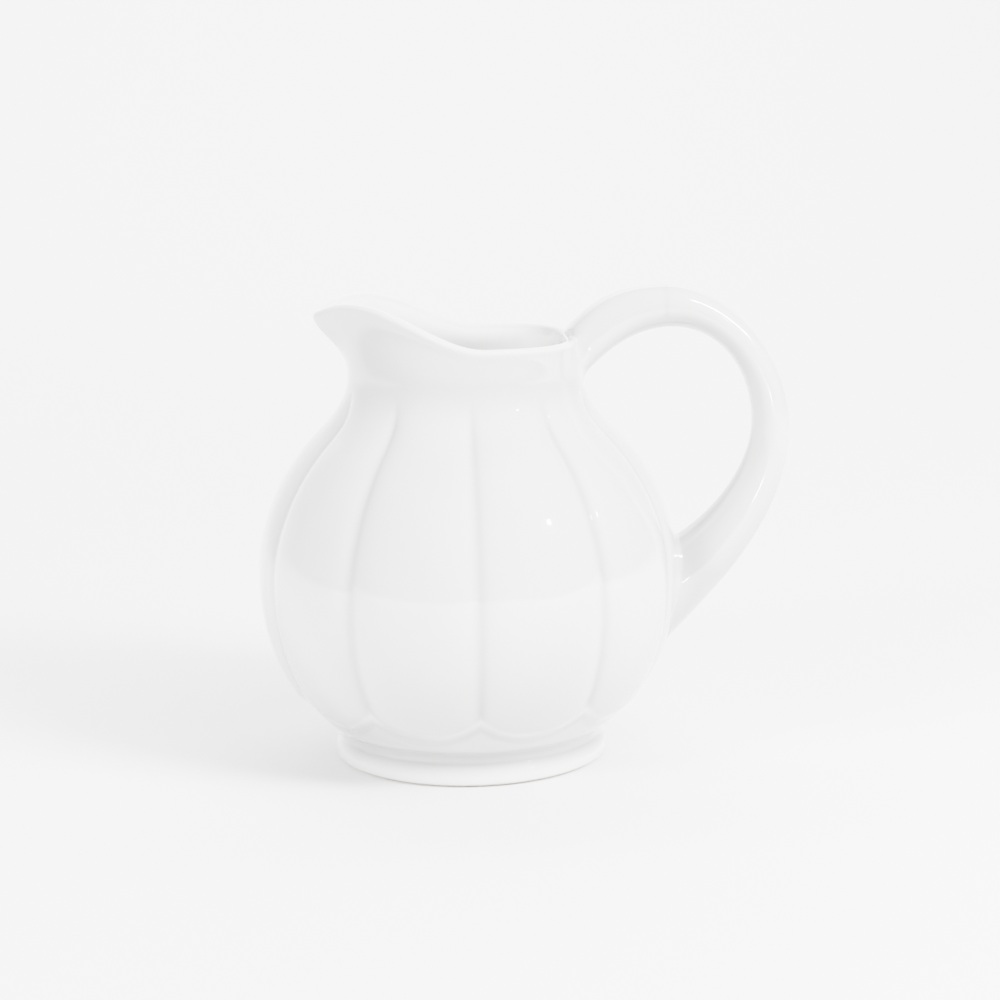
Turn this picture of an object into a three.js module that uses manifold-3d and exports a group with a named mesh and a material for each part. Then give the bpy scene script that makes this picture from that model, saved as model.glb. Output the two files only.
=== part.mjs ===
// A melon-fluted ceramic jug with a pinched spout and a loop handle.
// Millimetres, +Z up. The jug stands on z = 0, the spout points along -X and the handle along +X.
// The pieces are the ones a potter works with: a foot ring, the fluted belly, the collar with its lip
// and spout, and a loop handle that is luted on through an upper and a lower terminal.

import * as THREE from "three";
import { mergeVertices } from "three/addons/utils/BufferGeometryUtils.js";
import Module from "manifold-3d";

const wasm = await Module();
wasm.setup();

// ---------------------------------------------------------------- driving dimensions

const gap = 0.3; // left between neighbouring pieces

const footRadius = 48.8;
const footHeight = 8.4;
const footRounding = 1.2; // of the foot's lower outer edge
const footBevel = 1.5; // and of its lower inner edge
const footRecessRadius = 41.5;
const footRecessDepth = 4.8;
const waistRadius = 47.5; // the hollow between foot and belly

const bellyRadius = 74.2;
const bellyWidestHeight = 66;
const shoulderRadius = 52.5; // where the belly's curve turns into the neck's
const shoulderHeight = 116.5;
const bellyWall = 4.5;
const bellyWallStart = 14; // height where the inside wall turns into the floor's curve
const bellyFloorHeight = 10; // top of the floor, inside

const fluteCount = 10;
const fluteDepth = 1.5;
const fluteHalfWidth = 0.2; // of half a lobe
const lobeCrown = 0.7; // how far a lobe's middle stands above its edges
const archHeight = 20; // the lowest point of each lobe's rounded lower end
const archRise = 6.8; // how much higher that end is beside a flute
const archPower = 2.2; // 2 is a parabola; more is flatter in the middle
const archStep = 2; // half of the height over which a lobe's end steps down to the plain band
const footBlend = 3; // height over which the plain band starts above the foot
const fluteFadeStart = 120; // the flutes run out between these two heights
const fluteFadeEnd = 135;

const neckRadius = 41;
const neckHeight = 138; // where the collar starts
const collarWall = 3.5;
const lipRadius = 1.9; // of the rounded lip
const lipSeat = 1.4; // how far outside and below the lip's middle the collar's outside ends
const flareStart = 0.15; // share of the collar's height that stays straight

const mouthBack = 36.8; // from the axis to the middle of the lip, toward the handle
const mouthSide = 34.4; // and to either side
const mouthBackSquareness = 3; // exponent of the super-ellipse on the handle's side
const spoutReach = 16; // how far the spout goes past the round mouth
const spoutSpread = THREE.MathUtils.degToRad(20);
const spoutTipSoftness = THREE.MathUtils.degToRad(4);

const mouthHeight = 147.4; // middle of the lip over the belly
const spoutRise = 14.3;
const spoutRiseStart = 6; // x where the lip starts to rise toward the spout
const spoutCrest = -38; // x where it is highest
const spoutDroop = 0.026; // how fast the tip curls down past the crest, per millimetre

const handleReach = 115; // from the axis to the loop's outermost point
const handleHalfWidth = 7.6;
const handleRootHalfWidth = 9;
const handleTailHalfWidth = 14;

// The loop's inner and outer edges in the XZ plane, piece by piece:
// root to crown, crown to outermost point, outermost point to tail, tail into the belly.
const innerEdge = [
  bezier([37.5, 130.5], [49, 144], [60, 151], [73, 151]),
  bezier([73, 151], [88.5, 151], [101.5, 136.5], [101.5, 117]),
  bezier([101.5, 117], [101.5, 102], [89.5, 85.5], [76, 77]),
  bezier([76, 77], [71.5, 74.2], [65.5, 70], [59.5, 66]),
];
const outerEdge = [
  bezier([32.5, 151.5], [41, 161], [47.5, 166], [71.5, 166]),
  bezier([71.5, 166], [91.5, 166], [handleReach, 141], [handleReach, 115]),
  bezier([handleReach, 115], [handleReach, 93], [103.5, 75.5], [93.5, 63]),
  bezier([93.5, 63], [81.5, 49.5], [69.5, 37.5], [57.5, 26]),
];
const upperSplit = 0.42; // share of the first piece that belongs to the upper terminal
const lowerSplit = 2.93; // where the lower terminal takes over, in pieces from the root

// ---------------------------------------------------------------- finishes

const glaze = { color: 0xf3f2ef, roughness: 0.12, metalness: 0 };
const bareFoot = { color: 0xe6e1d8, roughness: 0.6, metalness: 0 };

// ---------------------------------------------------------------- small helpers

function bezier(...points) {
  return new THREE.CubicBezierCurve(...points.map(([x, y]) => new THREE.Vector2(x, y)));
}

function smoothstep(from, to, value) {
  const share = THREE.MathUtils.clamp((value - from) / (to - from), 0, 1);
  return share * share * (3 - 2 * share);
}

// Points along a chain of plane curves, each with the normal on its right-hand side.
function along(curves, steps) {
  return curves.flatMap((curve, index) => {
    const last = index === curves.length - 1;
    return Array.from({ length: last ? steps + 1 : steps }, (_, step) => {
      const tangent = curve.getTangent(step / steps);
      return { point: curve.getPoint(step / steps), normal: new THREE.Vector2(tangent.y, -tangent.x) };
    });
  });
}

// A turned piece whose outline may change with the angle: each row gives [radius, height] at an angle.
// The outline starts and ends on the axis, or closes on itself.
function turned(rows, columns) {
  const outline = rows.map((row) => new THREE.Vector2(...row(0)));
  const shape = new THREE.LatheGeometry(outline, columns);
  const position = shape.attributes.position;
  for (let column = 0; column <= columns; column++) {
    const angle = ((column % columns) / columns) * 2 * Math.PI;
    rows.forEach((row, index) => {
      const [radius, height] = row(angle);
      const vertex = column * rows.length + index;
      position.setXYZ(vertex, radius * Math.cos(angle), radius * Math.sin(angle), height);
    });
  }
  return shape;
}

// A bar whose section changes along it: place(across, side, along) maps the unit cylinder to space.
function lofted(place, around, steps) {
  const shape = new THREE.CylinderGeometry(1, 1, 1, around, steps);
  const position = shape.attributes.position;
  for (let vertex = 0; vertex < position.count; vertex++) {
    const spot = place(position.getX(vertex), -position.getZ(vertex), 0.5 - position.getY(vertex));
    position.setXYZ(vertex, spot.x, spot.y, spot.z);
  }
  return shape;
}

function solid(shape) {
  const bare = shape.clone();
  bare.deleteAttribute("normal");
  bare.deleteAttribute("uv");
  const merged = mergeVertices(bare, 1e-4);
  const index = merged.index.array;
  const triangles = [];
  for (let corner = 0; corner < index.length; corner += 3) {
    const [a, b, c] = index.subarray(corner, corner + 3);
    if (a !== b && b !== c && c !== a) triangles.push(a, b, c);
  }
  const vertProperties = new Float32Array(merged.attributes.position.array);
  const triVerts = new Uint32Array(triangles);
  return new wasm.Manifold(new wasm.Mesh({ numProp: 3, vertProperties, triVerts }));
}

function geometryOf(made) {
  const mesh = made.getMesh();
  const shape = new THREE.BufferGeometry();
  shape.setAttribute("position", new THREE.BufferAttribute(new Float32Array(mesh.vertProperties), 3));
  shape.setIndex(new THREE.BufferAttribute(new Uint32Array(mesh.triVerts), 1));
  shape.computeVertexNormals();
  return shape;
}

function piece(name, made, finish) {
  const mesh = new THREE.Mesh(geometryOf(made), new THREE.MeshStandardMaterial(finish));
  mesh.name = name;
  return mesh;
}

// ---------------------------------------------------------------- the belly

const bellyOutline = [
  bezier([waistRadius, footHeight + gap], [49.5, 10.2], [58, 17], [63.6, 26]),
  bezier([63.6, 26], [69.5, 35.5], [bellyRadius, 49], [bellyRadius, bellyWidestHeight]),
  bezier([bellyRadius, bellyWidestHeight], [bellyRadius, 87], [64, 105], [shoulderRadius, shoulderHeight]),
  bezier([shoulderRadius, shoulderHeight], [46, 123], [neckRadius, 129], [neckRadius, neckHeight - gap]),
];

// How far the surface lies inside the smooth outline: 0 in the middle of a lobe, most in a flute
// and in the plain band under the lobes' rounded ends.
function fluteInset(angle, height) {
  const turn = (angle * fluteCount) / (2 * Math.PI) + 0.5;
  const offCentre = Math.abs(2 * (turn - Math.floor(turn)) - 1);
  const run = 1 - smoothstep(fluteFadeStart, fluteFadeEnd, height);
  const valley = run * Math.exp(-(((1 - offCentre) / fluteHalfWidth) ** 2));
  const lobeEnd = archHeight + archRise * offCentre ** archPower;
  const band = 1 - smoothstep(lobeEnd - archStep, lobeEnd + archStep, height);
  const inset = fluteDepth * (1 - (1 - valley) * (1 - band)) + lobeCrown * offCentre ** 2 * run * (1 - band);
  return inset * smoothstep(footHeight, footHeight + footBlend, height);
}

function bellyRow({ point, normal }, outset = 0) {
  return (angle) => {
    const shift = outset - fluteInset(angle, point.y);
    return [point.x + normal.x * shift, point.y + normal.y * shift];
  };
}

function bellySolid() {
  const outside = along(bellyOutline, 6).map((station) => bellyRow(station));
  const wallStations = along(bellyOutline, 4).filter(({ point }) => point.y > bellyWallStart);
  const inside = wallStations.reverse().map(({ point, normal }) => {
    const spot = point.clone().addScaledVector(normal, -bellyWall);
    return () => [spot.x, Math.min(spot.y, neckHeight - gap)];
  });
  const floorTop = [
    [43, bellyFloorHeight + 3],
    [34, bellyFloorHeight + 0.4],
    [0, bellyFloorHeight],
  ].map((spot) => () => spot);
  const plugRadius = footRecessRadius - gap; // the floor reaches down inside the foot ring
  const underside = [
    [0, footRecessDepth],
    [plugRadius, footRecessDepth],
    [plugRadius, footHeight + gap],
  ].map((spot) => () => spot);
  return solid(turned([...underside, ...outside, ...inside, ...floorTop], fluteCount * 8));
}

// ---------------------------------------------------------------- the foot

function footSolid() {
  const rim = footRadius - footRounding;
  const side = [
    bezier([rim, 0], [rim + footRounding / 2, 0], [footRadius, footRounding], [footRadius, 3]),
    bezier([footRadius, 3], [footRadius, 5.6], [waistRadius, 6.4], [waistRadius, footHeight]),
  ];
  const outline = along(side, 3).map(({ point }) => [point.x, point.y]);
  const recess = [
    [footRecessRadius, footHeight],
    [footRecessRadius, footBevel],
    [footRecessRadius + footBevel, 0],
  ];
  const rows = [...outline, ...recess];
  return solid(turned([...rows, rows[0]].map((spot) => () => spot), 60));
}

// ---------------------------------------------------------------- the collar, its lip and spout

// Distance from the axis to the middle of the lip: round, squarer toward the handle,
// and drawn out to a point at the spout.
function mouthRadius(angle) {
  const toHandle = Math.cos(angle) > 0;
  const reach = toHandle ? mouthBack : mouthSide;
  const power = toHandle ? mouthBackSquareness : 2;
  const sum = Math.abs(Math.cos(angle) / reach) ** power + Math.abs(Math.sin(angle) / mouthSide) ** power;
  const fromSpout = Math.acos(THREE.MathUtils.clamp(-Math.cos(angle), -1, 1));
  const softened = Math.hypot(fromSpout, spoutTipSoftness) - spoutTipSoftness;
  return sum ** (-1 / power) + spoutReach * Math.exp(-softened / spoutSpread);
}

function lipHeight(angle) {
  const x = mouthRadius(angle) * Math.cos(angle);
  const pastCrest = Math.max(spoutCrest - x, 0);
  return mouthHeight + spoutRise * smoothstep(spoutRiseStart, spoutCrest, x) - spoutDroop * pastCrest ** 2;
}

// The collar's outside from the neck up to the lip, share 0 to 1.
function collarOutside(angle, share, outset = 0) {
  const flare = smoothstep(flareStart, 1, share);
  const radius = neckRadius + (mouthRadius(angle) + lipSeat - neckRadius) * flare;
  const height = neckHeight + (lipHeight(angle) - lipSeat - neckHeight) * share;
  return [radius + outset, height];
}

// The rounded lip, turn 0 at its outer side to half a turn at its inner side.
function lip(angle, turn, outset = 0) {
  const size = lipRadius + outset;
  return [mouthRadius(angle) + size * Math.cos(turn), lipHeight(angle) + size * Math.sin(turn)];
}

function collarSolid() {
  const shares = Array.from({ length: 8 }, (_, step) => step / 8);
  const turns = Array.from({ length: 7 }, (_, step) => (step / 6) * Math.PI);
  const outside = shares.map((share) => (angle) => collarOutside(angle, share));
  const crown = turns.map((turn) => (angle) => lip(angle, turn));
  const inside = shares.toReversed().map((share) => (angle) => collarOutside(angle, share, -collarWall));
  const rows = [...outside, ...crown, ...inside];
  return solid(turned([...rows, rows[0]], 72));
}

// ---------------------------------------------------------------- the handle and its terminals

// The handle between two places on the loop, counted in edge pieces from the root.
function handleSpan(from, to, steps) {
  return solid(
    lofted(
      (across, side, share) => {
        const place = from + (to - from) * share;
        const index = Math.min(Math.floor(place), innerEdge.length - 1);
        const inner = innerEdge[index].getPoint(place - index);
        const outer = outerEdge[index].getPoint(place - index);
        const toRoot = 1 - smoothstep(0, 0.8, place);
        const toTail = smoothstep(2.2, 3.6, place);
        const halfWidth =
          handleHalfWidth +
          (handleRootHalfWidth - handleHalfWidth) * toRoot +
          (handleTailHalfWidth - handleHalfWidth) * toTail;
        const spot = inner.lerp(outer, (1 + across) / 2);
        return new THREE.Vector3(spot.x, side * halfWidth, spot.y);
      },
      16,
      steps,
    ),
  );
}

// The jug's filled outside, grown by the gap, which the terminals are cut to.
function bodyEnvelope() {
  const belly = along(bellyOutline, 6).map((station) => bellyRow(station, gap));
  const collar = Array.from({ length: 9 }, (_, step) => (angle) => collarOutside(angle, step / 9, gap));
  const crown = [0, 1, 2, 3].map((step) => (angle) => lip(angle, (step / 6) * Math.PI, gap));
  const bottom = () => [0, footHeight + gap];
  const top = () => [0, mouthHeight + lipRadius + gap];
  return solid(turned([bottom, ...belly, ...collar, ...crown, top], 80));
}

const split = gap / 60; // half of the gap, in edge pieces
const envelope = bodyEnvelope();
const handle = handleSpan(upperSplit + split, lowerSplit - split, 34);
const upperTerminal = handleSpan(0, upperSplit - split, 8).subtract(envelope);
const lowerTerminal = handleSpan(lowerSplit + split, 4, 10).subtract(envelope);

// ---------------------------------------------------------------- assembly

const jug = new THREE.Group();
jug.add(
  piece("foot_ring", footSolid(), bareFoot),
  piece("belly", bellySolid(), glaze),
  piece("collar_with_spout", collarSolid(), glaze),
  piece("handle", handle, glaze),
  piece("upper_handle_terminal", upperTerminal, glaze),
  piece("lower_handle_terminal", lowerTerminal, glaze),
);
// The origin is under the middle of the whole length, from the belly's side to the handle's outermost point.
jug.position.x = -(handleReach - bellyRadius) / 2;

const part = new THREE.Group();
part.add(jug);

export default part;
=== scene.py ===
"""The looks of a melon-fluted glazed jug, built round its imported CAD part.

The part stands on z = 0 with its spout toward -X and its handle toward +X. Lengths are in
millimetres while a shape is worked out and become metres when its mesh is made.
"""
import math

import bpy
import numpy as np
from mathutils import Matrix, Vector


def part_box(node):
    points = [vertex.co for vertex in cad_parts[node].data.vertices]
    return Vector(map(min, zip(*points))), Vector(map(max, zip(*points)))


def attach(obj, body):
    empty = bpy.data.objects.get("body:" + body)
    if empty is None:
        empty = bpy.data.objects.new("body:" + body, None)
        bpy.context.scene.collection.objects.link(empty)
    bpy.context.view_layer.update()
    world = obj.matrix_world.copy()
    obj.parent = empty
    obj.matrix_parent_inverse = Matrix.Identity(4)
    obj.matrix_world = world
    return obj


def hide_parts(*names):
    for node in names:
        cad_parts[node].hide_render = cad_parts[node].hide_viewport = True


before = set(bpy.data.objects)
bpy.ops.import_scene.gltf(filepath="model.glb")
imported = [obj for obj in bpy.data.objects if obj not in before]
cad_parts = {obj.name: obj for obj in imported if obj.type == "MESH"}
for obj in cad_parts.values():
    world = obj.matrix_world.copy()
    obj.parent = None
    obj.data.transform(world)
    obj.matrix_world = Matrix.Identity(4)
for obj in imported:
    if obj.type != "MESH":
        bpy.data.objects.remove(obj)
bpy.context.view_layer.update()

MM = 0.001
foot_low, foot_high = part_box("foot_ring")
AXIS_X = (foot_low[0] + foot_high[0]) / 2  # the belly's own axis, in metres

# ---------------------------------------------------------------- driving dimensions, millimetres

foot_radius = 48.8
foot_height = 8.4
foot_inner_radius = 41.5
recess_depth = 4.8
waist_radius = 47.5

belly_radius = 74.2
widest_height = 66
shoulder_radius = 52.5
shoulder_height = 116.5
belly_wall = 4.5
floor_height = 10
inside_start = 15  # height where the inner wall leaves the floor's curve
ridge_share = 0.6  # of a flute's depth, which shows as a ridge inside
ridge_fade = (20, 34)

flute_count = 10
flute_depth = 1.5
flute_half_width = 0.17  # of half a lobe
flute_rounding = 0.05  # of half a lobe, how blunt the glaze leaves the bottom of a flute
lobe_crown = 0.7
arch_height = 20
arch_rise = 6.8
arch_power = 2.2
arch_step = 3
flute_fade = (120, 135)
groove_height = 8.8  # of the narrow groove between the belly and the foot
groove_depth = 1.7
groove_half_height = 1.9
inset_fade = 3  # above the foot, where flutes and lobes fade in

neck_radius = 41
neck_height = 138
collar_low_pull = 0.4  # of the collar's length, how long it keeps rising straight
collar_high_pull = 0.28  # and how long it runs straight into the lip
lip_radius = 1.9
lip_start = math.radians(-15)  # where the collar's outside runs into the round of the lip

mouth_back = 36.8
mouth_side = 34.4
mouth_back_squareness = 3
spout_reach = 16
spout_spread = math.radians(20)
spout_softness = math.radians(4)
mouth_height = 147.4
spout_rise = 14.3
spout_rise_start = 6
spout_crest = -38
spout_droop = 0.026

handle_reach = 115
handle_half_width = 7.6
root_half_width = 9
tail_half_width = 14
root_squareness = 3.2
root_run = (0, 1.1)  # curves of the handle's edges over which its root changes into the loop
tail_run = (2.2, 3.6)
seam_reach = 70.6  # from the belly's axis to the mould seam over the handle's crown
root_low_height = 131  # of the inner side of the handle's joint under the lip
tail_high_height = 80.5  # of the inner side of its joint on the belly
tail_low_height = 29.5

COLUMNS = 720  # points round each row of the body
OUTLINE_STEP = 0.75  # from row to row of the body's outside
SECTION = 144  # points round each row of the handle
CURVE_POINTS = 200  # in the table of each curve of the handle's edges
LIP_ROWS = 20
LIP_TOP = 14  # the lip's row just past its crown, where the handle's root ends

# ---------------------------------------------------------------- glaze tone, 0 palest to 1 darkest, mostly painted shade and light

glaze_edge = 1.1  # height above the table where the glaze ends
plain_depth = 0.45
# painted light: the whole inside is given the palest tone
inside_painted_light = 0.0
root_shade_depth = 0.95  # inside the mouth beside the handle
flute_shade_half_width = 0.09  # of half a lobe, for the painted shade along a flute
arch_edge_half_height = 1.1
under_arch_drop = 3.4  # below the end of a lobe
under_arch_half_height = 1.5
foot_fade = (4, 7)
overhang_end = 14  # height by which overhanging walls have their full painted shade
neck_run = (124, 138)
lip_highlight_turns = (-15, 35)  # degrees round the lip, from its outer side up, over which the painted highlight comes in
mouth_shade_turns = (95, 135)
mouth_shade_half_angle = 0.5  # radians to either side of the handle
root_shade_half_angle = 0.55
root_shade_run = (132, 141)
seam_half_width = 0.9
seam_end = 140  # the height below which the seam doesn't show
hollow_middle = (80, 68)  # from the belly's axis and the table
hollow_half_size = (7, 10)
inner_edge_half_angle = 0.7  # radians round the handle's section
inner_edge_fade = (90, 120)

# what each place adds to the plain tone: painted shade where it is positive, painted light where negative
# painted light on the foot's outer wall
foot_painted_light = -0.2
# painted shade along the flutes
flute_painted_shade = 0.28
# painted shade in the groove over the foot
groove_painted_shade = 0.7
# painted shade in a band just below each lobe's end
under_arch_painted_shade = 0.2
# painted highlight along the lower edges of the lobes
arch_edge_painted_highlight = -0.2
# painted shade in the neck's hollow
neck_painted_shade = 0.25
# painted shade on faces that look down, on the belly and the handle
overhang_painted_shade = 0.42
# painted shade over the whole collar
collar_painted_shade = 0.25
# painted highlight along the lip
lip_painted_highlight = -0.25
mouth_shade_extra = 0.8  # on the inner side of the lip beside the handle
# painted shade over the whole handle
handle_painted_shade = 0.25
seam_extra = 0.14
# painted shade in the hollow beside the handle's tail
hollow_painted_shade = 0.3
# painted shade along the handle's inner edge
inner_edge_painted_shade = 0.3

# ---------------------------------------------------------------- small helpers


def smoothstep(start, end, value):
    share = np.clip((value - start) / (end - start), 0, 1)
    return share * share * (3 - 2 * share)


def bell(value, middle, half_width):
    """1 at the middle, about a third at half_width from it, then fading to nothing."""
    return np.exp(-(((value - middle) / half_width) ** 2))


def squarer(value, power):
    """A sine or cosine bent so that its ring grows squarer as the power falls below 1."""
    return np.sign(value) * np.abs(value) ** power


def bezier(points, share):
    """Points of a cubic Bezier curve; its four points may be arrays of points."""
    a, b, c, d = (np.asarray(p, float) for p in points)
    t = np.asarray(share, float)[..., None]
    return (1 - t) ** 3 * a + 3 * (1 - t) ** 2 * t * b + 3 * (1 - t) * t * t * c + t**3 * d


def travelled(points):
    """How far along a line each of its points lies."""
    return np.concatenate([[0], np.cumsum(np.linalg.norm(np.diff(points, axis=0), axis=1))])


def evenly(points, step):
    """The same plane curve with points a step apart."""
    along = travelled(points)
    stations = np.linspace(0, along[-1], max(2, round(along[-1] / step)) + 1)
    return np.stack([np.interp(stations, along, column) for column in points.T], 1)


def softened(points, passes):
    """Averages each inner point with its neighbours, which evens out jumps in curvature."""
    for _ in range(passes):
        inner = (points[:-2] + 2 * points[1:-1] + points[2:]) / 4
        points = np.concatenate([points[:1], inner, points[-1:]])
    return points


def unit(vectors):
    return vectors / np.maximum(np.linalg.norm(vectors, axis=-1, keepdims=True), 1e-12)


def smooth_mesh(name, vertices, faces):
    mesh = bpy.data.meshes.new(name)
    placed = np.asarray(vertices) * MM + (AXIS_X, 0, 0)
    mesh.from_pydata(placed.tolist(), [], faces)
    mesh.validate()
    mesh.polygons.foreach_set("use_smooth", [True] * len(mesh.polygons))
    piece = bpy.data.objects.new(name, mesh)
    bpy.context.scene.collection.objects.link(piece)
    return piece


def paint(piece, tone_and_shade):
    """Stores the glaze's tone at each vertex, mostly painted light and shade: 0 palest on edges, 1 darkest
    in deep hollows.
    """
    layer = piece.data.attributes.new("glaze_tone_and_painted_shade", "FLOAT", "POINT")
    layer.data.foreach_set("value", np.asarray(tone_and_shade, dtype=np.float32).ravel())


def ring_faces(rows, columns, closed=False, outward_faces=True):
    """Quads between rows of vertices that each close on themselves."""
    order = 1 if outward_faces else -1
    faces = []
    for row in range(rows if closed else rows - 1):
        a, b = row * columns, (row + 1) % rows * columns
        for column in range(columns):
            after = (column + 1) % columns
            faces.append((a + column, a + after, b + after, b + column)[::order])
    return faces


def capped_mesh(name, grid, first_centre, last_centre, outward_faces=True):
    """A closed piece from rows of points, with a fan of triangles over each end."""
    rows, columns = grid.shape[:2]
    vertices = np.concatenate([grid.reshape(-1, 3), [first_centre, last_centre]])
    faces = ring_faces(rows, columns, outward_faces=outward_faces)
    first, last, last_row = rows * columns, rows * columns + 1, (rows - 1) * columns
    order = 1 if outward_faces else -1
    for column in range(columns):
        after = (column + 1) % columns
        faces.append((first, after, column)[::order])
        faces.append((last, last_row + column, last_row + after)[::order])
    return smooth_mesh(name, vertices, faces)


# ---------------------------------------------------------------- the body's outside

ANGLES = np.linspace(0, 2 * np.pi, COLUMNS, endpoint=False)


def flute_valley(angle, height):
    """Three shares of 1: how deep in a flute, how far off a lobe's middle, how much the flutes run here."""
    turn = angle * flute_count / (2 * np.pi) + 0.5
    off_centre = np.abs(2 * (turn - np.floor(turn)) - 1)
    run = 1 - smoothstep(*flute_fade, height)
    from_flute = np.hypot(1 - off_centre, flute_rounding) - flute_rounding
    return run * np.exp(-from_flute / flute_half_width), off_centre, run


def flute_inset(angle, height):
    """How far the surface lies inside the smooth outline."""
    valley, off_centre, run = flute_valley(angle, height)
    lobe_end = arch_height + arch_rise * off_centre**arch_power
    band = 1 - smoothstep(lobe_end - arch_step, lobe_end + arch_step, height)
    inset = flute_depth * (1 - (1 - valley) * (1 - band)) + lobe_crown * off_centre**2 * run * (1 - band)
    groove = groove_depth * bell(height, groove_height, groove_half_height)
    return inset * smoothstep(foot_height, foot_height + inset_fade, height) + groove


def plane_normals(points):
    tangent = unit(np.gradient(points, axis=0))
    return np.stack([tangent[:, 1], -tangent[:, 0]], 1)


def round_rows(outline):
    """Rows of vertices round the axis from (radius, height) points."""
    r, z = outline[:, 0, None], outline[:, 1, None]
    flat = np.zeros(COLUMNS)
    return np.stack([r * np.cos(ANGLES), r * np.sin(ANGLES), z + flat], -1)


shares = np.linspace(0, 1, 60)
foot_curves = [
    ([foot_radius - 1.2, 0], [foot_radius - 0.6, 0], [foot_radius, 1.2], [foot_radius, 3]),
    ([foot_radius, 3], [foot_radius, 5.6], [waist_radius, 6.4], [waist_radius, foot_height]),
]
belly_curves = [
    ([waist_radius, foot_height], [49.5, 10.2], [58, 17], [63.6, 26]),
    ([63.6, 26], [69.5, 35.5], [belly_radius, 49], [belly_radius, widest_height]),
    ([belly_radius, widest_height], [belly_radius, 87], [64, 105], [shoulder_radius, shoulder_height]),
    ([shoulder_radius, shoulder_height], [46, 123], [neck_radius, 129], [neck_radius, neck_height]),
]
outline = evenly(np.concatenate([bezier(c, shares) for c in foot_curves + belly_curves]), OUTLINE_STEP)
outline = softened(outline, passes=3)
outline_normals = plane_normals(outline)
outline_normals[-1] = (1, 0)
inset = flute_inset(ANGLES[None, :], outline[:, 1, None])
body_radius = outline[:, 0, None] - outline_normals[:, 0, None] * inset
body_height = outline[:, 1, None] - outline_normals[:, 1, None] * inset
body_rows = np.stack([body_radius * np.cos(ANGLES), body_radius * np.sin(ANGLES), body_height], -1)

# ---------------------------------------------------------------- the mouth's edge, collar and lip


def mouth_edge(angle):
    """The middle of the lip: round, squarer toward the handle, drawn to a point at the spout."""
    toward_handle = np.cos(angle) > 0
    reach = np.where(toward_handle, mouth_back, mouth_side)
    power = np.where(toward_handle, mouth_back_squareness, 2)
    total = np.abs(np.cos(angle) / reach) ** power + np.abs(np.sin(angle) / mouth_side) ** power
    from_spout = np.arccos(np.clip(-np.cos(angle), -1, 1))
    soft = np.hypot(from_spout, spout_softness) - spout_softness
    radius = total ** (-1 / power) + spout_reach * np.exp(-soft / spout_spread)
    x = radius * np.cos(angle)
    past_crest = np.maximum(spout_crest - x, 0)
    rise = spout_rise * smoothstep(spout_rise_start, spout_crest, x) - spout_droop * past_crest**2
    return np.stack([x, radius * np.sin(angle), mouth_height + rise], -1)


def around(values):
    """Change from column to column, round the closed row."""
    return (np.roll(values, -1, axis=-2) - np.roll(values, 1, axis=-2)) / 2


edge = mouth_edge(ANGLES)
edge_along = unit(around(edge))
edge_out = unit(np.stack([edge_along[:, 1], -edge_along[:, 0], np.zeros(COLUMNS)], 1))
edge_up = unit(np.cross(edge_out, edge_along))


def lip_row(turn):
    """One row of the round lip: turn 0 faces out, a quarter turn up, a half turn into the mouth."""
    return edge + lip_radius * (math.cos(turn) * edge_out + math.sin(turn) * edge_up)


collar_start = body_rows[-1]
collar_end = lip_row(lip_start)
collar_end_rise = -math.sin(lip_start) * edge_out + math.cos(lip_start) * edge_up
collar_length = np.linalg.norm(collar_end - collar_start, axis=1, keepdims=True)
collar_curve = (
    collar_start,
    collar_start + collar_low_pull * collar_length * (0, 0, 1),
    collar_end - collar_high_pull * collar_length * collar_end_rise,
    collar_end,
)
collar_shares = np.linspace(0, 1, 30)[1:-1]
collar_rows = np.stack([bezier(collar_curve, np.full(COLUMNS, share)) for share in collar_shares])
lip_turns = np.linspace(lip_start, lip_start + math.pi, LIP_ROWS)
lip_rows = np.stack([lip_row(turn) for turn in lip_turns])
outside = np.concatenate([body_rows, collar_rows, lip_rows])

# ---------------------------------------------------------------- the inside


def grid_normals(rows):
    normals = np.cross(around(rows), np.gradient(rows, axis=0))
    return unit(normals)


collar_wall = 2 * lip_radius
offset_from = np.concatenate([body_rows[-2:-1], body_rows[-1:], collar_rows, lip_rows[:1]])
normals = grid_normals(offset_from)[1:-1]
thickness = np.linspace(belly_wall, collar_wall, len(normals))[:, None, None]
collar_inside = offset_from[1:-1] - thickness * normals

wall_rows = outline[:, 1] > inside_start
ridge = ridge_share * flute_depth * smoothstep(*ridge_fade, outline[wall_rows, 1])[:, None]
valley = flute_valley(ANGLES[None, :], outline[wall_rows, 1, None])[0]
inside_shift = belly_wall + ridge * valley
r = outline[wall_rows, 0, None] - outline_normals[wall_rows, 0, None] * inside_shift
z = outline[wall_rows, 1, None] - outline_normals[wall_rows, 1, None] * inside_shift
belly_inside = np.stack([r * np.cos(ANGLES), r * np.sin(ANGLES), z], -1)[:-1]
corner_r, corner_z = r[0, 0], z[0, 0]
floor_curve = ([corner_r, corner_z], [corner_r - 4, corner_z - 3], [36, floor_height], [28, floor_height])
floor_line = bezier(floor_curve, np.linspace(0, 1, 14)[1:])
floor_rows = round_rows(np.concatenate([floor_line, [[14, floor_height]]]))
inside = np.concatenate([collar_inside[::-1], belly_inside[::-1], floor_rows])

# ---------------------------------------------------------------- underside and the bare rim

underside_line = np.array([[12, recess_depth + 0.4], [26, recess_depth + 0.3], [37, recess_depth]])
recess_curve = ([37, recess_depth], [40, recess_depth], [41.3, 4.4], [foot_inner_radius + 0.1, 2.6])
recess = bezier(recess_curve, np.linspace(0, 1, 12)[1:])
recess_end = np.array([[foot_inner_radius + 0.3, 1.7], [foot_inner_radius + 0.9, glaze_edge]])
underside = round_rows(np.concatenate([underside_line, recess, recess_end]))
first_outer = int(np.argmax(outline[:, 1] > glaze_edge))
body_grid = np.concatenate([underside, outside[first_outer:], inside])
glazed_body = capped_mesh("glazed_body", body_grid, (0, 0, recess_depth + 0.4), (0, 0, floor_height))


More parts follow.
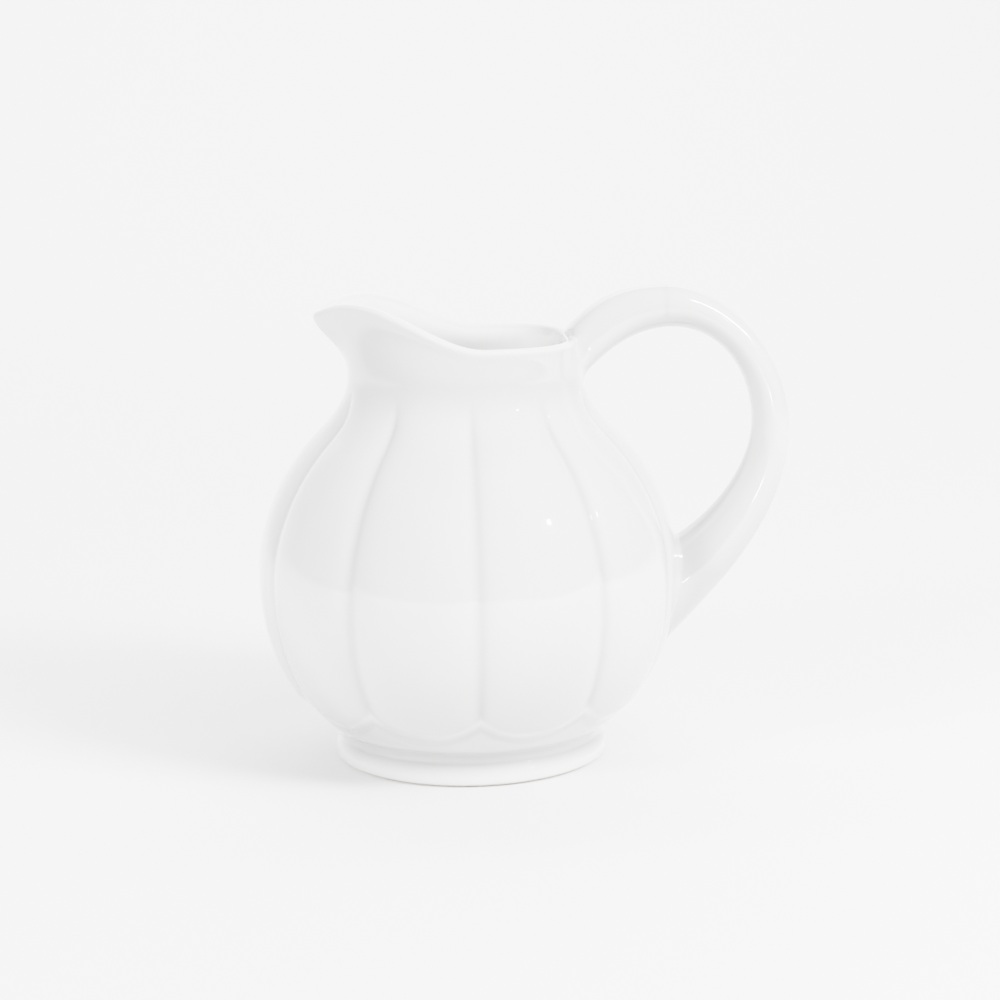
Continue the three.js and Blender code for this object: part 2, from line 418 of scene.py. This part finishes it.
def underneath(normals):
    """0 on upward faces, next to 0 on upright ones, 1 on faces that look down."""
    return smoothstep(-0.1, 0.8, -normals[..., 2])


def body_tone_and_shade():
    """The glaze's tone at each of the body's vertices, nearly all of it painted light and shade.

    Painted shade darkens the flutes, the groove over the foot, a band under each lobe's end, the neck's
    hollow, the collar and the faces that look down. Painted highlight lightens the lip and the arches'
    edges, and painted light the foot and the whole inside. Beside the handle in the mouth it is darker
    still, which stands for the deep shade there.
    """
    height = outline[:, 1, None]
    _, off_centre, run = flute_valley(ANGLES[None, :], height)
    lobe_end = arch_height + arch_rise * off_centre**arch_power
    above_arch = smoothstep(lobe_end - 1, lobe_end + 1, height)
    flute = bell(off_centre, 1, flute_shade_half_width) * run * above_arch
    under_arch = bell(height, lobe_end - under_arch_drop, under_arch_half_height) * (1 - above_arch)
    overhang = underneath(grid_normals(body_rows)) * smoothstep(glaze_edge, overhang_end, height)
    on_wall = (
        plain_depth
        + foot_painted_light * (1 - smoothstep(*foot_fade, height))
        + flute_painted_shade * flute
        + groove_painted_shade * bell(height, groove_height, groove_half_height)
        + under_arch_painted_shade * under_arch
        + arch_edge_painted_highlight * bell(height, lobe_end, arch_edge_half_height)
        + neck_painted_shade * smoothstep(*neck_run, height)
        + overhang_painted_shade * overhang
    )
    on_collar = np.full(collar_rows.shape[:2], plain_depth + collar_painted_shade)
    turn = np.degrees(lip_turns)[:, None]
    from_handle = np.minimum(ANGLES, 2 * np.pi - ANGLES)
    on_lip = plain_depth + collar_painted_shade + (lip_painted_highlight - collar_painted_shade) * smoothstep(*lip_highlight_turns, turn)
    mouth_shade = smoothstep(*mouth_shade_turns, turn) * bell(from_handle, 0, mouth_shade_half_angle)
    on_lip = on_lip + mouth_shade_extra * mouth_shade
    on_outside = np.concatenate([on_wall, on_collar, on_lip])
    by_handle = bell(from_handle, 0, root_shade_half_angle)
    under_root = by_handle * smoothstep(*root_shade_run, inside[..., 2])
    on_inside = inside_painted_light + (root_shade_depth - inside_painted_light) * under_root
    on_underside = np.full(underside.shape[:2], plain_depth)
    grid = np.concatenate([on_underside, on_outside[first_outer:], on_inside])
    return np.concatenate([grid.ravel(), [plain_depth, inside_painted_light]])


paint(glazed_body, body_tone_and_shade())

rim_line = np.array([
    [foot_radius - 3.6, 0], [foot_radius - 2.6, 0], [foot_radius - 2.2, 0.1], [foot_radius - 1.5, 0.5],
    [foot_radius - 0.9, 1.0], [foot_radius - 1.2, 2.2], [foot_inner_radius + 2, 2.2],
    [foot_inner_radius + 1.0, 1.2], [foot_inner_radius + 1.3, 0.5], [foot_inner_radius + 1.8, 0.1],
    [foot_inner_radius + 2.4, 0],
])
rim_vertices = round_rows(rim_line).reshape(-1, 3)
bare_rim = smooth_mesh("bare_foot_rim", rim_vertices, ring_faces(len(rim_line), COLUMNS, closed=True))

# ---------------------------------------------------------------- the handle

inner_edge = [
    ([37.5, 130.5], [49, 144], [60, 151], [73, 151]),
    ([73, 151], [88.5, 151], [101.5, 136.5], [101.5, 117]),
    ([101.5, 117], [101.5, 102], [89.5, 85.5], [76, 77]),
    ([76, 77], [71.5, 74.2], [65.5, 70], [59.5, 66]),
]
outer_edge = [
    ([35.0, 150.2], [43, 158.5], [50, 166], [71.5, 166]),
    ([71.5, 166], [91.5, 166], [handle_reach, 141], [handle_reach, 115]),
    ([handle_reach, 115], [handle_reach, 93], [103.5, 75.5], [93.5, 63]),
    ([93.5, 63], [81.5, 49.5], [69.5, 37.5], [57.5, 26]),
]
TURNS = np.linspace(0, 2 * np.pi, SECTION, endpoint=False)  # 0 is the outer side, half a turn the inner


def edge_table(curves):
    """A long table of places and points along a chain of curves, evened out at their joints."""
    steps = np.linspace(0, 1, CURVE_POINTS, endpoint=False)
    points = np.concatenate([bezier(curve, steps) for curve in curves])
    return np.arange(len(points)) / CURVE_POINTS, softened(points, passes=400)


inner_table, outer_table = edge_table(inner_edge), edge_table(outer_edge)


def at(table, place):
    """The point of an edge at a place, where each of its curves is 1 long."""
    places, points = table
    return np.stack([np.interp(place, places, points[:, 0]), np.interp(place, places, points[:, 1])], -1)


def handle_surface(turn, place):
    """The handle's section is an oval, squarer where it grows out of the neck."""
    inner, outer = at(inner_table, place), at(outer_table, place)
    to_root = 1 - smoothstep(*root_run, place)
    to_tail = smoothstep(*tail_run, place)
    power = 2 / (2 + (root_squareness - 2) * to_root)
    across = squarer(np.cos(turn), power)
    aside = squarer(np.sin(turn), power)
    half_width = handle_half_width + (root_half_width - handle_half_width) * to_root
    half_width = half_width + (tail_half_width - handle_half_width) * to_tail
    spot = inner + (outer - inner) * ((1 + across) / 2)[..., None]
    return np.stack([spot[..., 0], half_width * aside, spot[..., 1]], -1)


def body_spot(row, angle):
    """A point of the body's outside, at a fractional row and any angle."""
    column = (angle / (2 * np.pi) * COLUMNS) % COLUMNS
    r0, c0 = np.floor(row).astype(int), np.floor(column).astype(int)
    r0 = np.clip(r0, 0, len(outside) - 2)
    fr, fc = (row - r0)[..., None], (column - c0)[..., None]
    c0, c1 = c0 % COLUMNS, (c0 + 1) % COLUMNS
    low = outside[r0, c0] * (1 - fc) + outside[r0, c1] * fc
    high = outside[r0 + 1, c0] * (1 - fc) + outside[r0 + 1, c1] * fc
    return low * (1 - fr) + high * fr


profile = outside[:, 0]  # the outside's line below the handle
profile_distance = travelled(profile)


def distance_at(height):
    """How far along the profile the body's outside first reaches a height."""
    rising = slice(len(body_rows) + len(collar_rows))
    return float(np.interp(height, profile[rising, 2], profile_distance[rising]))


def footprint(inner_distance, outer_distance, half_width, squareness):
    """A closed outline on the body, between the profile distances of its inner and its outer side."""
    across = squarer(np.cos(TURNS), 2 / squareness)
    aside = squarer(np.sin(TURNS), 2 / squareness)
    distance = (inner_distance + outer_distance) / 2 + (outer_distance - inner_distance) / 2 * across
    row = np.interp(distance, profile_distance, np.arange(len(outside)))
    reach = np.hypot(*np.moveaxis(body_spot(row, np.zeros(SECTION))[:, :2], -1, 0))
    angle = np.arcsin(np.clip(half_width * aside / reach, -1, 1))
    aside_step, up_step = 0.01, 0.2  # radians and rows
    normal = unit(np.cross(body_spot(row, angle + aside_step) - body_spot(row, angle - aside_step),
                           body_spot(row + up_step, angle) - body_spot(row - up_step, angle)))
    return body_spot(row, angle), normal


def fillet(start, start_along, end, end_along, steps, pull=1.1):
    """Rows of a smooth skirt from one ring to another, leaving and arriving along given directions."""
    chord = np.linalg.norm(end - start, axis=1, keepdims=True)
    a, d = start, end
    b = start + start_along * chord * pull / 3
    c = end - end_along * chord * pull / 3
    return np.stack([bezier((a, b, c, d), np.full(SECTION, share)) for share in np.linspace(0, 1, steps)])


def outward(ring, normal):
    """In the body's tangent plane, at right angles to the footprint and away from its middle."""
    along = unit(around(ring))
    across = unit(np.cross(along, normal))
    middle = ring.mean(axis=0)
    flip = np.sign(np.sum(across * (ring - middle), axis=1, keepdims=True))
    return across * np.where(flip == 0, 1, flip)


def joint_rows(place, onward, ring, normal, steps):
    """A fillet from the handle at the given places to a footprint, with a hem tucked under the surface.

    The places run on toward the footprint where onward is 1, and back toward it where onward is -1.
    """
    start = handle_surface(TURNS, place)
    start_along = unit(handle_surface(TURNS, place + 0.01 * onward) - start)
    end_along = outward(ring, normal)
    rows = fillet(start, start_along, ring, end_along, steps)
    hem = ring + 0.5 * end_along - 0.12 * normal
    tuck = ring + 0.4 * end_along - 1.2 * normal
    return np.concatenate([rows, [hem, tuck]])


lip_top_distance = profile_distance[len(body_rows) + len(collar_rows) + LIP_TOP]
upper_ring, upper_normal = footprint(
    distance_at(root_low_height), lip_top_distance, half_width=12.5, squareness=2.6
)
lower_ring, lower_normal = footprint(
    distance_at(tail_high_height), distance_at(tail_low_height), half_width=19, squareness=2.4
)

# where the loop passes into its joints: farther from the root on the inner side and the flanks
upper_place = 0.125 - 0.075 * np.cos(TURNS) + 0.2 * np.sin(TURNS) ** 2
lower_place = 3.40 + 0.34 * np.cos(TURNS)
upper_joint = joint_rows(upper_place, -1, upper_ring, upper_normal, steps=22)
lower_joint = joint_rows(lower_place, 1, lower_ring, lower_normal, steps=30)
loop_length = lower_place - upper_place
loop_rows = [handle_surface(TURNS, upper_place + loop_length * s) for s in np.linspace(0, 1, 190)[1:-1]]
handle_grid = np.concatenate([upper_joint[::-1], loop_rows, lower_joint])
handle_ends = handle_grid[0].mean(axis=0), handle_grid[-1].mean(axis=0)
loop_handle = capped_mesh("loop_handle", handle_grid, *handle_ends, outward_faces=False)


def handle_tone_and_shade():
    """Painted shade over the whole handle, deeper under the arch, in the hollows beside the tail and along
    the lower inner edge; a darker line runs along the mould seam.
    """
    reach, height = handle_grid[..., 0], handle_grid[..., 2]
    overhang = underneath(-grid_normals(handle_grid))
    seam = bell(reach, seam_reach, seam_half_width) * (height > seam_end)
    hollow = bell(reach, hollow_middle[0], hollow_half_size[0])
    hollow = hollow * bell(height, hollow_middle[1], hollow_half_size[1])
    inner_side = bell(TURNS, np.pi, inner_edge_half_angle) * (1 - smoothstep(*inner_edge_fade, height))
    grid = (
        plain_depth
        + handle_painted_shade
        + overhang_painted_shade * overhang
        + seam_extra * seam
        + hollow_painted_shade * hollow
        + inner_edge_painted_shade * inner_side
    )
    return np.concatenate([grid.ravel(), [plain_depth, plain_depth]])


paint(loop_handle, handle_tone_and_shade())

# ---------------------------------------------------------------- finishes

# the palest tone, and the grey where painted shade lies deepest
palest_glaze = (0.88, 0.88, 0.872)
painted_shade_glaze = (0.34, 0.34, 0.335)


def material(name):
    made = bpy.data.materials.new(name)
    made.use_nodes = True
    return made, made.node_tree.nodes, made.node_tree.links


def noise(nodes, links, place, size, detail, roughness=0.5):
    """Noise with features about size metres wide."""
    texture = nodes.new("ShaderNodeTexNoise")
    texture.inputs["Scale"].default_value = 1 / size
    texture.inputs["Detail"].default_value = detail
    texture.inputs["Roughness"].default_value = roughness
    links.new(place.outputs["Object"], texture.inputs["Vector"])
    return texture


def spread(nodes, links, source, low, high):
    """A noise's usual run of values, 0.3 to 0.7, spread evenly between two others."""
    ramp = nodes.new("ShaderNodeMapRange")
    ramp.inputs["From Min"].default_value = 0.3
    ramp.inputs["From Max"].default_value = 0.7
    ramp.inputs["To Min"].default_value = low
    ramp.inputs["To Max"].default_value = high
    links.new(source, ramp.inputs["Value"])
    return ramp.outputs["Result"]


def tinted(nodes, links, source, low, high, start=0.0, end=1.0):
    """A colour that goes from low to high while the source goes from start to end."""
    ramp = nodes.new("ShaderNodeValToRGB")
    first, last = ramp.color_ramp.elements
    first.position, first.color = start, (*low, 1)
    last.position, last.color = end, (*high, 1)
    links.new(source, ramp.inputs["Fac"])
    return ramp.outputs["Color"]


def bump(nodes, links, height, distance, below=None):
    """A relief of the given depth in metres, on top of the one below."""
    made = nodes.new("ShaderNodeBump")
    made.inputs["Strength"].default_value = 1.0
    made.inputs["Distance"].default_value = distance
    links.new(height, made.inputs["Height"])
    if below is not None:
        links.new(below, made.inputs["Normal"])
    return made.outputs["Normal"]


def glaze_material():
    """White glaze, greyer where painted shade lies and paler where painted light lies, under a clear wet
    gloss that is slightly wavy.
    """
    made, nodes, links = material("white_glaze")
    shader = nodes["Principled BSDF"]
    place = nodes.new("ShaderNodeTexCoord")
    tone_and_shade = nodes.new("ShaderNodeAttribute")
    tone_and_shade.attribute_name = "glaze_tone_and_painted_shade"
    clouds = noise(nodes, links, place, size=0.03, detail=3)
    drift = spread(nodes, links, clouds.outputs["Fac"], low=-0.03, high=0.03)
    total = nodes.new("ShaderNodeMath")
    total.operation = "ADD"
    total.use_clamp = True
    links.new(tone_and_shade.outputs["Fac"], total.inputs[0])
    links.new(drift, total.inputs[1])
    tint = tinted(nodes, links, total.outputs["Value"], palest_glaze, painted_shade_glaze)
    links.new(tint, shader.inputs["Base Color"])
    grain = noise(nodes, links, place, size=0.004, detail=4)
    links.new(spread(nodes, links, grain.outputs["Fac"], low=0.06, high=0.14), shader.inputs["Roughness"])
    waves = noise(nodes, links, place, size=0.022, detail=1)
    peel = noise(nodes, links, place, size=0.0016, detail=1)
    wavy = bump(nodes, links, waves.outputs["Fac"], distance=0.0004)
    surface = bump(nodes, links, peel.outputs["Fac"], distance=0.000003, below=wavy)
    links.new(surface, shader.inputs["Normal"])
    links.new(surface, shader.inputs["Coat Normal"])
    shader.inputs["IOR"].default_value = 1.55
    shader.inputs["Coat Weight"].default_value = 1.0
    shader.inputs["Coat Roughness"].default_value = 0.02
    shader.inputs["Coat IOR"].default_value = 1.6
    return made


def clay_with_painted_shadow_material():
    """Unglazed clay with a sandy grain, its own tone darkened to a warm grey by painted shadow for the
    contact line under the foot.
    """
    made, nodes, links = material("bare_clay_with_painted_shadow")
    shader = nodes["Principled BSDF"]
    place = nodes.new("ShaderNodeTexCoord")
    sand = noise(nodes, links, place, size=0.0009, detail=6, roughness=0.7)
    grain = sand.outputs["Fac"]
    # clay tone darkened with painted shadow, standing in for the contact shadow under the foot
    tint = tinted(nodes, links, grain, (0.32, 0.28, 0.23), (0.46, 0.42, 0.36), start=0.35, end=0.65)
    links.new(tint, shader.inputs["Base Color"])
    links.new(spread(nodes, links, grain, low=0.75, high=0.95), shader.inputs["Roughness"])
    links.new(bump(nodes, links, grain, distance=0.00012), shader.inputs["Normal"])
    return made


def paper_material():
    """Matt background paper with a faint fibre."""
    made, nodes, links = material("pale_paper")
    shader = nodes["Principled BSDF"]
    place = nodes.new("ShaderNodeTexCoord")
    fibre = noise(nodes, links, place, size=0.003, detail=4, roughness=0.6)
    tint = tinted(nodes, links, fibre.outputs["Fac"], (0.865, 0.865, 0.865), (0.895, 0.895, 0.895))
    links.new(tint, shader.inputs["Base Color"])
    links.new(bump(nodes, links, fibre.outputs["Fac"], distance=0.00005), shader.inputs["Normal"])
    shader.inputs["Roughness"].default_value = 0.9
    shader.inputs["Specular IOR Level"].default_value = 0.1
    return made


glaze = glaze_material()
bare = clay_with_painted_shadow_material()
glazed_body.data.materials.append(glaze)
loop_handle.data.materials.append(glaze)
bare_rim.data.materials.append(bare)

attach(glazed_body, "root")
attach(loop_handle, "root")
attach(bare_rim, "root")
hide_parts("belly", "collar_with_spout")
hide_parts("foot_ring")
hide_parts("handle", "upper_handle_terminal", "lower_handle_terminal")

# ---------------------------------------------------------------- floor, light and camera

# a sheet of paper on the table, in metres, that curves up behind the jug
paper_front, paper_bend, paper_back, paper_top, paper_half_width = -1.15, 1.1, 1.75, 2.4, 3.0
bend_curve = ([paper_bend, 0], [1.5, 0], [paper_back, 0.2], [paper_back, 0.7])
bend = bezier(bend_curve, np.linspace(0, 1, 24)[1:]).tolist()
line = [(paper_front, 0.0), (0.0, 0.0), (paper_bend, 0.0), *bend, (paper_back, paper_top)]
stage_vertices = [(x, y, z) for y, z in line for x in (-paper_half_width, paper_half_width)]
stage_faces = [(2 * i, 2 * i + 1, 2 * i + 3, 2 * i + 2) for i in range(len(line) - 1)]
floor_mesh = bpy.data.meshes.new("studio_floor")
floor_mesh.from_pydata(stage_vertices, [], stage_faces)
floor_mesh.polygons.foreach_set("use_smooth", [True] * len(stage_faces))
floor = bpy.data.objects.new("studio_floor", floor_mesh)
bpy.context.scene.collection.objects.link(floor)
floor_mesh.materials.append(paper_material())

room_glow = 0.035  # a little light from all round
world = bpy.data.worlds.new("studio")
world.use_nodes = True
room = world.node_tree.nodes["Background"]
room.inputs["Color"].default_value = (1, 1, 1, 1)
room.inputs["Strength"].default_value = room_glow
bpy.context.scene.world = world


def toward(bearing, height_angle):
    """The direction of a bearing, which is 0 on the camera's side and positive to the right."""
    a, e = math.radians(bearing), math.radians(height_angle)
    return Vector((math.sin(a) * math.cos(e), -math.cos(a) * math.cos(e), math.sin(e)))


def area_lamp(name, size, radiance, shape="RECTANGLE"):
    """A lamp of the given radiance that the camera doesn't see."""
    data = bpy.data.lights.new(name, "AREA")
    data.shape = shape
    data.size = size[0]
    area = math.pi * size[0] ** 2 / 4
    if shape == "RECTANGLE":
        data.size_y = size[1]
        area = size[0] * size[1]
    data.energy = radiance * math.pi * area
    lamp = bpy.data.objects.new(name, data)
    lamp.visible_camera = False
    bpy.context.scene.collection.objects.link(lamp)
    return lamp


def face(lamp, direction):
    lamp.rotation_euler = direction.to_track_quat("-Z", "Y").to_euler()


def jug_lamp(name, bearing, height_angle, distance, size, radiance, shape="RECTANGLE"):
    """A lamp that faces the middle of the jug."""
    lamp = area_lamp(name, size, radiance, shape)
    direction = toward(bearing, height_angle)
    lamp.location = Vector((0, 0, 0.08)) + distance * direction
    face(lamp, -direction)
    return lamp


# the large lamps stay out of the reflections, where the glaze shows no rectangles
for name, bearing, height_angle, size, radiance in (
    ("right_softbox", 50, 33, 0.4, 27.0),
    ("upper_right_softbox", 50, 55, 0.8, 2.4),
    ("left_softbox", -52, 24, 0.4, 13.2),
):
    jug_lamp(name, bearing, height_angle, 1.3, (size, size), radiance).visible_glossy = False
jug_lamp("right_bulb", 50, 32, 1.25, (0.065,), 14, "DISK")
backlight = jug_lamp("background_softbox", 180, 60, 1.9, (2.2, 0.9), 3.8)
face(backlight, Vector((0, 0.75, -1)))  # turned to the paper behind the jug
backlight.visible_glossy = False

handle_only = bpy.data.collections.new("lit_by_strips")
handle_only.objects.link(loop_handle)


def strip_light(name, aim, start, end, distance, width, radiance):
    """A narrow lamp for the handle alone, between two directions seen from the place it is aimed at."""
    first, last = toward(*start), toward(*end)
    lamp = area_lamp(name, (distance * (last - first).length, width), radiance)
    facing = (first + last).normalized()
    along = (last - first).normalized()
    turned = Matrix((along, facing.cross(along), facing)).transposed().to_4x4()
    lamp.matrix_world = Matrix.Translation(Vector(aim) + distance * facing) @ turned
    lamp.light_linking.receiver_collection = handle_only


strip_light("crown_strip", (0.07, 0, 0.155), (31, 50), (84, 25), 1.25, 0.12, 18)
strip_light("tail_strip", (0.078, -0.009, 0.088), (14, -6), (14.8, -3), 0.7, 0.055, 13)

PITCH, ROLL, TURN = math.radians(11.5), math.radians(-1.0), math.radians(-3.6)
back = Vector((math.sin(TURN) * math.cos(PITCH), -math.cos(TURN) * math.cos(PITCH), math.sin(PITCH)))
right = (-back).cross(Vector((0, 0, 1))).normalized()
up = right.cross(-back)
tilted_right = math.cos(ROLL) * right + math.sin(ROLL) * up
tilted_up = -math.sin(ROLL) * right + math.cos(ROLL) * up
FOCAL = 2.733  # focal length over picture width
DISTANCE = 0.98390  # metres from the foot's middle, along the line of sight
BASE_RIGHT, BASE_DOWN = -0.0282, 0.2477  # where the foot's middle shows, from the picture's middle
SENSOR_WIDTH = 36
camera_place = Vector((AXIS_X, 0, 0)) + DISTANCE * (
    back - tilted_right * (BASE_RIGHT / FOCAL) + tilted_up * (BASE_DOWN / FOCAL)
)
camera_data = bpy.data.cameras.new("camera")
camera_data.sensor_width = SENSOR_WIDTH
camera_data.lens = SENSOR_WIDTH * FOCAL
camera = bpy.data.objects.new("camera", camera_data)
bpy.context.scene.collection.objects.link(camera)
turned = Matrix((tilted_right, tilted_up, back)).transposed().to_4x4()
camera.matrix_world = Matrix.Translation(camera_place) @ turned
bpy.context.scene.camera = camera

scene = bpy.context.scene
scene.view_settings.view_transform = "AgX"
scene.view_settings.look = "None"
scene.view_settings.exposure = 3.0
scene.cycles.use_denoising = True
scene.cycles.max_bounces = 12
scene.cycles.diffuse_bounces = 10
